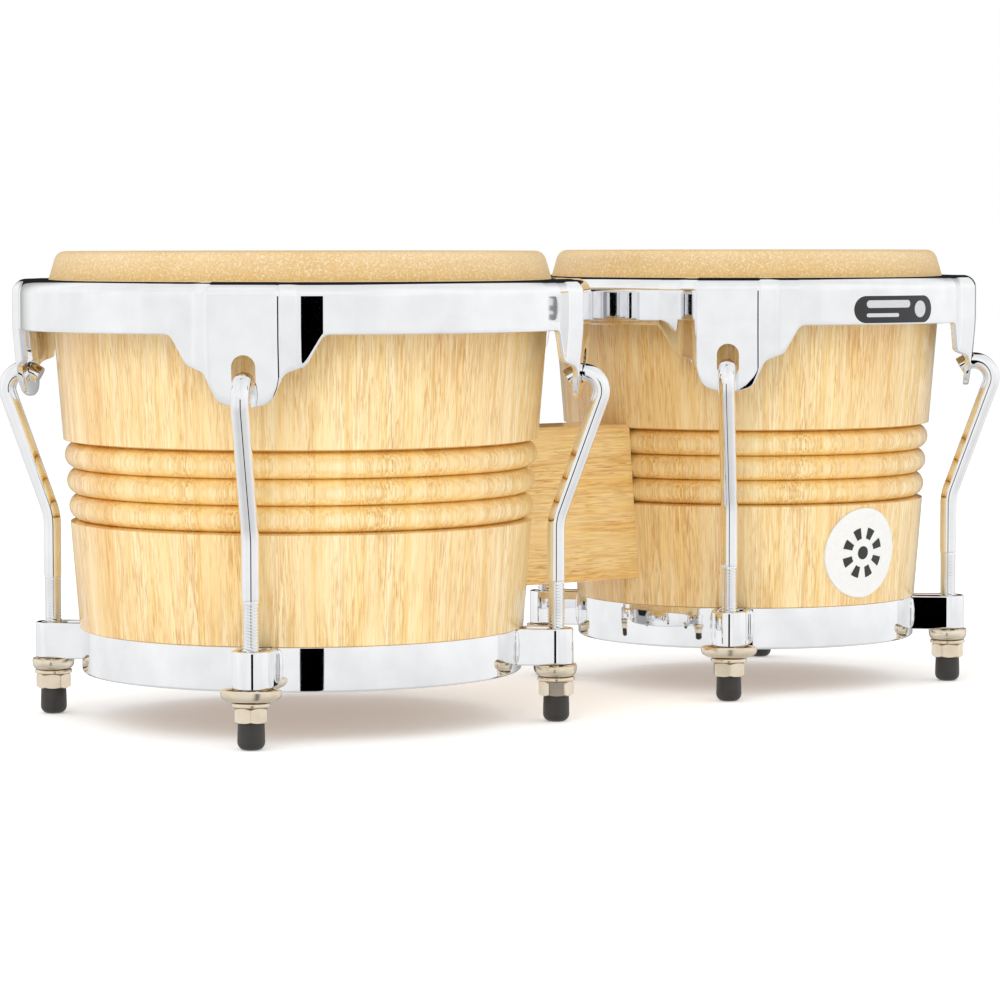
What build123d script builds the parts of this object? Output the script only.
from build123d import *

import math
import os

# Pair of bongo drums: a large drum (hembra) and a small one (macho) joined by a wooden block.
# Millimetres, +Z up. The origin is on the surface that the feet stand on, at the middle of the
# whole pair. +X runs from the large drum to the small one, and the front, with the badge, is -Y.

# ---- Driving dimensions: layout -------------------------------------------------------------
CENTRE_DISTANCE = 249.2           # between the two drum axes
LUGS = {"front_left": -135.0, "front_right": -45.0, "back_right": 45.0, "back_left": 135.0}

# ---- Shell ----------------------------------------------------------------------------------
SHELL_SLOPE = 0.080               # growth of the outer radius per millimetre of height
SHELL_WALL = 13.0
SHELL_BOTTOM = 23.7
SHELL_TOP = 197.4                 # crown of the bearing edge
EDGE_RADIUS = 7.3                 # rounding of the bearing edge
EDGE_LAND = 2.0                   # flat land inside the rounding
BEAD_PITCH = 10.9
BEAD_COUNT = 3
BEAD_BAND_BOTTOM = 86.1           # deepest line of the lowest groove
GROOVE_DEPTH = 4.2
GROOVE_LIP = 1.0                  # height of the steep side of the end grooves

# ---- Head and flesh hoop --------------------------------------------------------------------
SKIN = 1.7
SKIN_GAP = 0.1                    # skin stands this far off the wood, so that solids don't cut
HOOP_WIRE_R = 2.5
HOOP_GAP = 0.3

# ---- Tuning rim -----------------------------------------------------------------------------
RIM_SHEET = 2.6
RIM_TOP = 187.5
RIM_BOTTOM = 166.2
RIM_SHOULDER = 6.0
FLANGE_GAP = 0.5                  # between the flange's inner edge and the skin
EAR_PROUD = 3.4                   # ear plate beyond the band's outer radius
EAR_PLATE_HALF = 14.6
EAR_FACET_HALF = 31.0
EAR_BEND_R = 8.0
EAR_TIP = 137.0
SLOT_WIDTH = 9.7
SLOT_TOP = 158.4

# ---- Hooked tuning rods ---------------------------------------------------------------------
ROD_R = 3.74
THREAD_R = 3.5                    # crest radius of the thread, drawn as a plain cylinder
THREAD_TOP = 60.0
ROD_END = 2.0
HOOK_R = 8.0                      # centre line radius of the hook
HOOK_CENTRE_OUT = 11.26           # hook centre outward from the lug axis
HOOK_CENTRE_Z = 140.26
ROD_LEAN = 20.0                   # degrees from vertical, between the knee and the hook
KNEE_R = 24.0
HOOK_END_DIP = 30.0               # degrees below horizontal at the hook's end
HOOK_END_LENGTH = 3.0
HOOK_SEAT_GAP = 0.4               # between the hook and the bottom of its slot

# ---- Base ring and what hangs under its brackets ----------------------------------------------
RING_BOTTOM = 21.1
RING_TOP = 39.8
RING_SHEET = 2.5
RING_LIP = 7.0                    # inward lip that carries the shell
BRACKET_HALF_WIDTH = 7.85
BRACKET_SHEET = 2.4
BRACKET_SETBACK = 0.5             # bracket's round end is centred this far inside the lug axis
BRACKET_BOTTOM = 24.2
WELD_GAP = 0.05                   # weld line between a bracket and the ring
CUP_HALF = (8.75, 12.5)           # radial and tangential half sizes at the cup's rim
CUP_FLOOR_HALF = (7.3, 8.6)
CUP_BOTTOM = 19.5
CUP_SHEET = 1.5
WASHER_R = 8.0
WASHER_THICK = 2.2
ROD_HOLE_R = 3.95
NUT_FLATS = 13.0
NUT_HEIGHT = 6.3
NUT_BORE_R = 3.56
NUT_CHAMFER = 0.7
NUT_TURN = 10.0                   # degrees that the nuts' flats are turned from square
CAP_R = 5.6
CAP_ROUND = 3.2

# ---- Centre block and its bolts ---------------------------------------------------------------
BLOCK_BOTTOM = 51.5
BLOCK_TOP = 121.2
BLOCK_THICK = 33.0
BLOCK_EDGE = 2.0
BLOCK_GAP = 0.05                  # glue line between block and shell
BOLT_HEIGHTS = (68.0, 104.0)
BOLT_R = 3.9
BOLT_HOLE_R = 4.2
BOLT_HEAD = 5.3
BOLT_WASHER_R = 10.0
BOLT_WASHER_THICK = 1.6
SPOT_FACE_R = 11.0
SPOT_FACE_DEPTH = 0.3             # cut into the wall beyond the flat that just clears it
BOLT_NUT = 6.5
BOLT_PROUD = 2.0                  # thread showing past the nut

# ---- Badge and label --------------------------------------------------------------------------
BADGE_R = 20.3
BADGE_Z = 63.4
BADGE_THICK = 0.9
BADGE_GAP = 0.05                  # glue line under the badge
LABEL_LENGTH = 46.0
LABEL_HEIGHT = 12.0
LABEL_Z = 173.0
LABEL_THICK = 0.3

# ---- The two drums ----------------------------------------------------------------------------
# cone: outer shell radius at floor height; lug: radius of the rods' circle;
# ring: outer radius of the base ring; band: outer radius of the tuning rim's band
SIZES = {
    "hembra": {"cone": 91.4, "lug": 109.4, "ring": 93.7, "band": 119.2},
    "macho": {"cone": 75.0, "lug": 93.9, "ring": 77.8, "band": 102.3},
}
CUT_PAST = 10.0                   # how far cutting tools run past what they cut
HEMBRA_X = -(CENTRE_DISTANCE + SIZES["macho"]["band"] - SIZES["hembra"]["band"]) / 2
AXIS_X = {"hembra": HEMBRA_X, "macho": HEMBRA_X + CENTRE_DISTANCE}

FRONT_VIEW = Plane.XZ             # sketch plane: local x is radius or X, local y is height


def shell_radius(drum, z):
    """Outer radius of the plain cone at a height."""
    return SIZES[drum]["cone"] + SHELL_SLOPE * z


def save(shape, node):
    export_step(shape, f"parts/{node}.step")


def revolved(face, drum):
    """A profile drawn in radius and height, turned about the drum's axis."""
    solid = revolve(FRONT_VIEW * face, Axis.Z)
    return Pos(AXIS_X[drum], 0, 0) * solid


def at_lug(shape, drum, angle):
    """A shape drawn with the lug axis on +X at the lug radius, moved to a lug of a drum."""
    return Pos(AXIS_X[drum], 0, 0) * Rot(0, 0, angle) * shape


def outline(points):
    return make_face(Polyline(*points, close=True))


def hexagon_bar(flats, height):
    return extrude(RegularPolygon(flats / math.sqrt(3), 6), height)


# ---- Wood -------------------------------------------------------------------------------------
def bead_points(drum):
    """Groove bottoms and bead crowns, from the lowest groove up."""
    found = []
    for n in range(BEAD_COUNT + 1):
        z = BEAD_BAND_BOTTOM + n * BEAD_PITCH
        found.append((shell_radius(drum, z) - GROOVE_DEPTH, z))
        crown = z + BEAD_PITCH / 2
        found.append((shell_radius(drum, crown), crown))
    return found[:-1]


def shell(drum):
    ring_inside = SIZES[drum]["ring"] - RING_SHEET
    beads = bead_points(drum)
    low_lip = beads[0][1] - GROOVE_LIP
    high_lip = beads[-1][1] + GROOVE_LIP
    edge_z = SHELL_TOP - EDGE_RADIUS
    edge_r = shell_radius(drum, edge_z)
    crown_r = edge_r - EDGE_RADIUS
    mid = EDGE_RADIUS * math.sqrt(0.5)
    inner_top = shell_radius(drum, edge_z) - SHELL_WALL
    inner_bottom = shell_radius(drum, SHELL_BOTTOM) - SHELL_WALL
    lines = [
        Polyline(
            (inner_bottom, SHELL_BOTTOM),
            (ring_inside, SHELL_BOTTOM),
            (ring_inside, RING_TOP),
            (shell_radius(drum, RING_TOP), RING_TOP),
            (shell_radius(drum, low_lip), low_lip),
            beads[0],
        )
    ]
    for n in range(0, len(beads) - 1, 2):
        lines.append(ThreePointArc(beads[n], beads[n + 1], beads[n + 2]))
    lines.append(
        Polyline(beads[-1], (shell_radius(drum, high_lip), high_lip), (edge_r, edge_z))
    )
    lines.append(
        ThreePointArc(
            (edge_r, edge_z),
            (crown_r + mid, edge_z + mid),
            (crown_r, SHELL_TOP),
        )
    )
    lines.append(
        Polyline(
            (crown_r, SHELL_TOP),
            (crown_r - EDGE_LAND, SHELL_TOP),
            (inner_top, edge_z),
            (inner_bottom, SHELL_BOTTOM),
        )
    )
    return revolved(make_face(Curve() + lines), drum)


def inner_wall_x(drum, z):
    """Distance from the axis to the flat spot face for a bolt at this height."""
    return shell_radius(drum, z + SPOT_FACE_R) - SHELL_WALL + SPOT_FACE_DEPTH


def towards_block(drum):
    return 1 if drum == "hembra" else -1


def along_x(shape, x, z):
    """A shape drawn along +Z, laid along +X from the given point."""
    return Pos(x, 0, z) * Rot(0, 90, 0) * shape


def bolt_cuts(drum):
    """Bolt holes and flat spot faces in a shell, both bolts together."""
    cuts = []
    side = towards_block(drum)
    for z in BOLT_HEIGHTS:
        face_x = inner_wall_x(drum, z)
        hole = along_x(Cylinder(BOLT_HOLE_R, 4 * SHELL_WALL), side * face_x, z)
        depth = SHELL_WALL
        spot = along_x(Cylinder(SPOT_FACE_R, depth), side * (face_x - depth / 2), z)
        cuts += [Pos(AXIS_X[drum], 0, 0) * hole, Pos(AXIS_X[drum], 0, 0) * spot]
    return cuts


def cone_body(drum, extra):
    """The drum's plain outer cone as a solid, a little larger than the shell."""
    low, high = BLOCK_BOTTOM - CUT_PAST, BLOCK_TOP + CUT_PAST
    face = outline(
        [
            (0, low),
            (shell_radius(drum, low) + extra, low),
            (shell_radius(drum, high) + extra, high),
            (0, high),
        ]
    )
    return revolved(face, drum)


def centre_block():
    height = BLOCK_TOP - BLOCK_BOTTOM
    middle = (AXIS_X["hembra"] + AXIS_X["macho"]) / 2
    bar = Box(CENTRE_DISTANCE, BLOCK_THICK, height)
    bar = fillet(bar.edges().filter_by(Axis.X), BLOCK_EDGE)
    bar = Pos(middle, 0, BLOCK_BOTTOM + height / 2) * bar
    for drum in SIZES:
        bar -= cone_body(drum, BLOCK_GAP)
    for z in BOLT_HEIGHTS:
        bar -= along_x(Cylinder(BOLT_HOLE_R, CENTRE_DISTANCE), middle, z)
    return bar


def block_hardware():
    """Bolts from inside the large drum, with a washer at each end and a nut in the small drum."""
    bolts, washers, nuts = [], [], []
    for z in BOLT_HEIGHTS:
        start = AXIS_X["hembra"] + inner_wall_x("hembra", z)
        end = AXIS_X["macho"] - inner_wall_x("macho", z)
        head_x = start - BOLT_WASHER_THICK
        nut_x = end + BOLT_WASHER_THICK
        length = nut_x + BOLT_NUT + BOLT_PROUD - head_x
        align = (Align.CENTER, Align.CENTER, Align.MIN)
        shank = Cylinder(BOLT_R, length, align=align)
        head = Pos(0, 0, -BOLT_HEAD) * hexagon_bar(NUT_FLATS, BOLT_HEAD)
        bolts.append(along_x(shank + head, head_x, z))
        ring = Cylinder(BOLT_WASHER_R, BOLT_WASHER_THICK, align=align)
        ring -= Cylinder(BOLT_HOLE_R, BOLT_WASHER_THICK, align=align)
        washers += [along_x(ring, head_x, z), along_x(ring, end, z)]
        nut = hexagon_bar(NUT_FLATS, BOLT_NUT)
        nut -= Cylinder(BOLT_R, BOLT_NUT, align=align)
        nuts.append(along_x(nut, nut_x, z))
    return Compound(bolts), Compound(washers), Compound(nuts)


# ---- Head and hoop ----------------------------------------------------------------------------
def hoop_centre(drum):
    z = RIM_TOP - RIM_SHEET - SKIN_GAP - SKIN - HOOP_GAP - HOOP_WIRE_R
    return shell_radius(drum, z) + SKIN_GAP + SKIN + HOOP_GAP + HOOP_WIRE_R, z


def head(drum):
    """Skin over the bearing edge, down a short collar and once round the flesh hoop."""
    inside = SKIN_GAP
    outside = SKIN_GAP + SKIN
    hoop_r, hoop_z = hoop_centre(drum)
    edge_z = SHELL_TOP - EDGE_RADIUS
    edge_r = shell_radius(drum, edge_z)
    centre_r = edge_r - EDGE_RADIUS
    inner_round = EDGE_RADIUS + inside
    outer_round = EDGE_RADIUS + outside
    half = math.sqrt(0.5)
    top = SHELL_TOP + outside
    under = SHELL_TOP + inside
    low_r = shell_radius(drum, hoop_z)
    collar = Curve() + [
        Line((0, under), (centre_r, under)),
        ThreePointArc(
            (centre_r, under),
            (centre_r + inner_round * half, edge_z + inner_round * half),
            (edge_r + inside, edge_z),
        ),
        Polyline(
            (edge_r + inside, edge_z),
            (low_r + inside, hoop_z),
            (low_r + outside, hoop_z),
            (edge_r + outside, edge_z),
        ),
        ThreePointArc(
            (edge_r + outside, edge_z),
            (centre_r + outer_round * half, edge_z + outer_round * half),
            (centre_r, top),
        ),
        Polyline((centre_r, top), (0, top), (0, under)),
    ]
    inner_wrap = HOOP_WIRE_R + HOOP_GAP
    wrap = Pos(hoop_r, hoop_z) * (Circle(inner_wrap + SKIN) - Circle(inner_wrap))
    profile = make_face(collar) + wrap - Pos(hoop_r, hoop_z) * Circle(inner_wrap)
    return revolved(profile, drum)


def flesh_hoop(drum):
    hoop_r, hoop_z = hoop_centre(drum)
    return Pos(AXIS_X[drum], 0, hoop_z) * Torus(hoop_r, HOOP_WIRE_R)


# ---- Tuning rim -------------------------------------------------------------------------------
def rim_plan(drum):
    """Plan outline of the rim from outside: a circle with four flat-faced ears, bends rounded."""
    band = SIZES[drum]["band"]
    plate = band + EAR_PROUD
    root = math.sqrt(band**2 - EAR_FACET_HALF**2)
    plan = Circle(band)
    ear = outline(
        [
            (root, -EAR_FACET_HALF),
            (plate, -EAR_PLATE_HALF),
            (plate, EAR_PLATE_HALF),
            (root, EAR_FACET_HALF),
            (band / 2, 0),
        ]
    )
    for angle in LUGS.values():
        plan += Rot(0, 0, angle) * ear
    return fillet(plan.vertices(), EAR_BEND_R)


def ear_face():
    """Front outline of one ear, seen along the lug's radius: x across, y up."""
    right = [
        (EAR_FACET_HALF + CUT_PAST, RIM_TOP),
        (EAR_FACET_HALF + CUT_PAST, RIM_BOTTOM),
        (30.0, RIM_BOTTOM),
        (23.0, 153.8),
        (16.0, 151.0),
        (11.0, 139.5),
        (0, EAR_TIP - 1),
    ]
    left = [(-x, y) for x, y in reversed(right[:-1])]
    radii = [0.01, 4.0, 4.0, 4.0, 6.0, 12.0]
    edge = FilletPolyline(*right, *left, radius=radii + radii[-2::-1])
    return make_face(edge + Line(edge @ 1, edge @ 0))


def slot_bottom(drum):
    """Where the underside of the hook seats in the slot, at the ear plate's inner face."""
    inner_out = SIZES[drum]["band"] + EAR_PROUD - RIM_SHEET - SIZES[drum]["lug"]
    throat = HOOK_R - ROD_R
    end_angle = math.radians(90 + HOOK_END_DIP)
    arc_end = HOOK_CENTRE_OUT + throat * math.cos(end_angle)
    if inner_out > arc_end:
        rise = math.sqrt(throat**2 - (inner_out - HOOK_CENTRE_OUT) ** 2)
        return HOOK_CENTRE_Z + rise - HOOK_SEAT_GAP
    drop = (arc_end - inner_out) * math.tan(math.radians(HOOK_END_DIP))
    return HOOK_CENTRE_Z + throat * math.sin(end_angle) - drop - HOOK_SEAT_GAP


def slot_cut(drum):
    low = slot_bottom(drum)
    half = SLOT_WIDTH / 2
    face = Pos(0, (low + SLOT_TOP - half) / 2) * Rectangle(SLOT_WIDTH, SLOT_TOP - half - low)
    face += Pos(0, SLOT_TOP - half) * Circle(half)
    return face


def rim(drum):
    plan_out = rim_plan(drum)
    plan_in = offset(plan_out, -RIM_SHEET)
    height = RIM_TOP - EAR_TIP
    body = Pos(0, 0, EAR_TIP) * extrude(plan_out, height)
    top_edges = body.edges().group_by(Axis.Z)[-1]
    body = fillet(top_edges, RIM_SHOULDER)
    hollow = Pos(0, 0, EAR_TIP - 1) * extrude(plan_in, height + 1 - RIM_SHEET)
    inner_edges = hollow.edges().group_by(Axis.Z)[-1]
    hollow = fillet(inner_edges, RIM_SHOULDER - RIM_SHEET)
    flange_z = RIM_TOP - RIM_SHEET
    flange_r = shell_radius(drum, flange_z) + SKIN_GAP + SKIN + FLANGE_GAP
    body -= hollow
    body -= Pos(0, 0, RIM_TOP) * Cylinder(flange_r, 4 * RIM_SHOULDER)
    beyond = SIZES[drum]["band"] + 2 * CUT_PAST
    depth = RIM_BOTTOM - EAR_TIP + CUT_PAST
    below = Pos(0, 0, RIM_BOTTOM - depth / 2) * Cylinder(beyond, depth)
    side_view = Plane(origin=(0, 0, 0), x_dir=(0, 1, 0), z_dir=(1, 0, 0))
    for angle in LUGS.values():
        keep = extrude(side_view * ear_face(), beyond + CUT_PAST)
        below -= Rot(0, 0, angle) * keep
        slot = extrude(side_view * slot_cut(drum), beyond)
        body -= Rot(0, 0, angle) * slot
    body -= below
    return Pos(AXIS_X[drum], 0, 0) * body


# ---- Rods, nuts and caps ----------------------------------------------------------------------
def rod_line(lug):
    """Centre line above the thread: up, out at the knee, over the hook and down to its end."""
    lean = math.radians(ROD_LEAN)
    centre = (lug + HOOK_CENTRE_OUT, HOOK_CENTRE_Z)
    start = (centre[0] + HOOK_R * math.cos(-lean), centre[1] + HOOK_R * math.sin(-lean))
    knee_z = start[1] - (start[0] - lug) / math.tan(lean)
    tangent = KNEE_R * math.tan(lean / 2)
    knee_in = (lug, knee_z - tangent)
    knee_out = (lug + tangent * math.sin(lean), knee_z + tangent * math.cos(lean))
    end_angle = math.radians(90 + HOOK_END_DIP)
    top_angle = (end_angle - lean) / 2
    top = (centre[0] + HOOK_R * math.cos(top_angle), centre[1] + HOOK_R * math.sin(top_angle))
    end = (centre[0] + HOOK_R * math.cos(end_angle), centre[1] + HOOK_R * math.sin(end_angle))
    dip = math.radians(HOOK_END_DIP)
    tip = (end[0] - HOOK_END_LENGTH * math.cos(dip), end[1] - HOOK_END_LENGTH * math.sin(dip))
    return Curve() + [
        Line((lug, THREAD_TOP), knee_in),
        TangentArc(knee_in, knee_out, tangent=(0, 1)),
        Line(knee_out, start),
        ThreePointArc(start, top, end),
        Line(end, tip),
    ]


def rod(drum, angle):
    lug = SIZES[drum]["lug"]
    path = FRONT_VIEW * rod_line(lug)
    section = Pos(lug, 0, THREAD_TOP) * Circle(ROD_R)
    upper = sweep(section, path=path)
    align = (Align.CENTER, Align.CENTER, Align.MIN)
    thread = Pos(lug, 0, ROD_END) * Cylinder(THREAD_R, THREAD_TOP - ROD_END, align=align)
    return at_lug(upper + thread, drum, angle)


def nut_top():
    return CUP_BOTTOM - WASHER_THICK


def nut(drum, angle):
    lug = SIZES[drum]["lug"]
    body = hexagon_bar(NUT_FLATS, NUT_HEIGHT)
    corner = NUT_FLATS / math.sqrt(3)
    round_off = Pos(0, 0, NUT_HEIGHT / 2) * Cylinder(corner, NUT_HEIGHT)
    round_off = chamfer(round_off.edges(), NUT_CHAMFER)
    body = (body & round_off) - Cylinder(NUT_BORE_R, 4 * NUT_HEIGHT)
    body = Pos(lug, 0, nut_top() - NUT_HEIGHT) * Rot(0, 0, NUT_TURN) * body
    return at_lug(body, drum, angle)


def cap(drum, angle):
    """Rubber foot pushed over the rod's lower end."""
    lug = SIZES[drum]["lug"]
    top = nut_top() - NUT_HEIGHT
    align = (Align.CENTER, Align.CENTER, Align.MIN)
    body = Cylinder(CAP_R, top, align=align)
    body = fillet(body.edges().group_by(Axis.Z)[0], CAP_ROUND)
    body -= Pos(0, 0, ROD_END) * Cylinder(THREAD_R, top, align=align)
    return at_lug(Pos(lug, 0, 0) * body, drum, angle)


# ---- Base ring, cups and washers ----------------------------------------------------------------
def base_ring(drum):
    """Band round the foot of the shell, with an inward lip that the shell stands on."""
    outer = SIZES[drum]["ring"]
    inner = outer - RING_SHEET
    section = outline(
        [
            (inner - RING_LIP, RING_BOTTOM),
            (outer, RING_BOTTOM),
            (outer, RING_TOP),
            (inner, RING_TOP),
            (inner, RING_BOTTOM + RING_SHEET),
            (inner - RING_LIP, RING_BOTTOM + RING_SHEET),
        ]
    )
    return revolved(section, drum)


def brackets(drum):
    """Four U-shaped straps welded to the outside of the base ring, one round each rod."""
    outer = SIZES[drum]["ring"]
    end = SIZES[drum]["lug"] - BRACKET_SETBACK
    length = end - (outer - CUT_PAST)
    height = RING_TOP - BRACKET_BOTTOM

    def strap(half):
        bar = Pos(end - length / 2, 0) * Rectangle(length, 2 * half)
        return bar + Pos(end, 0) * Circle(half)

    loop = strap(BRACKET_HALF_WIDTH) - strap(BRACKET_HALF_WIDTH - BRACKET_SHEET)
    bracket = Pos(0, 0, BRACKET_BOTTOM) * extrude(loop, height)
    bracket -= Pos(0, 0, BRACKET_BOTTOM) * Cylinder(outer + WELD_GAP, 4 * height)
    return four(bracket, drum)


def cup(lug):
    """Oval dished washer that the bracket stands in."""
    height = BRACKET_BOTTOM - CUP_BOTTOM

    def dish(low_z, thinner):
        low = Pos(0, 0, low_z) * Ellipse(CUP_FLOOR_HALF[0] - thinner, CUP_FLOOR_HALF[1] - thinner)
        high = Pos(0, 0, height) * Ellipse(CUP_HALF[0] - thinner, CUP_HALF[1] - thinner)
        return loft([low, high])

    body = dish(0, 0) - dish(CUP_SHEET, CUP_SHEET) - Cylinder(ROD_HOLE_R, 4 * height)
    return Pos(lug, 0, CUP_BOTTOM) * body


def flat_washer(lug):
    body = Cylinder(WASHER_R, WASHER_THICK) - Cylinder(ROD_HOLE_R, WASHER_THICK)
    return Pos(lug, 0, CUP_BOTTOM - WASHER_THICK / 2) * body


def four(shape, drum):
    """The same lug piece at all four lugs of a drum, as separate solids."""
    return Compound([at_lug(shape, drum, angle) for angle in LUGS.values()])


# ---- Badge and label --------------------------------------------------------------------------
def badge():
    """Round metal badge bent to the small drum's shell, at its front."""
    low, high = BADGE_Z - 2 * BADGE_R, BADGE_Z + 2 * BADGE_R

    def skin_of(extra):
        face = outline(
            [
                (0, low),
                (shell_radius("macho", low) + extra, low),
                (shell_radius("macho", high) + extra, high),
                (0, high),
            ]
        )
        return revolve(FRONT_VIEW * face, Axis.Z)

    reach = shell_radius("macho", BADGE_Z)
    punch = Pos(0, -reach, BADGE_Z) * Rot(90, 0, 0) * Cylinder(BADGE_R, reach)
    plate = (skin_of(BADGE_THICK + BADGE_GAP) & punch) - skin_of(BADGE_GAP)
    return Pos(AXIS_X["macho"], 0, 0) * plate


def rim_label():
    """Pill-shaped sticker on the front of the small drum's rim."""
    band = SIZES["macho"]["band"]
    tube = Cylinder(band + LABEL_THICK, 2 * LABEL_HEIGHT) - Cylinder(band, 2 * LABEL_HEIGHT)
    face = SlotOverall(LABEL_LENGTH, LABEL_HEIGHT)
    punch = Rot(90, 0, 0) * extrude(face, 2 * band)
    plate = Pos(0, 0, LABEL_Z) * (tube & punch)
    return Pos(AXIS_X["macho"], 0, 0) * plate


def make_drum(drum):
    lug = SIZES[drum]["lug"]
    body = shell(drum)
    for cut in bolt_cuts(drum):
        body -= cut
    save(body, f"{drum}_shell")
    save(head(drum), f"{drum}_head")
    save(flesh_hoop(drum), f"{drum}_flesh_hoop")
    save(rim(drum), f"{drum}_rim")
    save(base_ring(drum), f"{drum}_base_ring")
    save(brackets(drum), f"{drum}_brackets")
    save(four(cup(lug), drum), f"{drum}_cup_washers")
    save(four(flat_washer(lug), drum), f"{drum}_flat_washers")
    for place, angle in LUGS.items():
        save(rod(drum, angle), f"{drum}_rod_{place}")
        save(nut(drum, angle), f"{drum}_nut_{place}")
        save(cap(drum, angle), f"{drum}_cap_{place}")


def main():
    os.makedirs("parts", exist_ok=True)
    for drum in SIZES:
        make_drum(drum)
    save(centre_block(), "centre_block")
    bolts, washers, nuts = block_hardware()
    save(bolts, "block_bolts")
    save(washers, "block_washers")
    save(nuts, "block_nuts")
    save(badge(), "macho_badge")
    save(rim_label(), "macho_rim_label")


main()
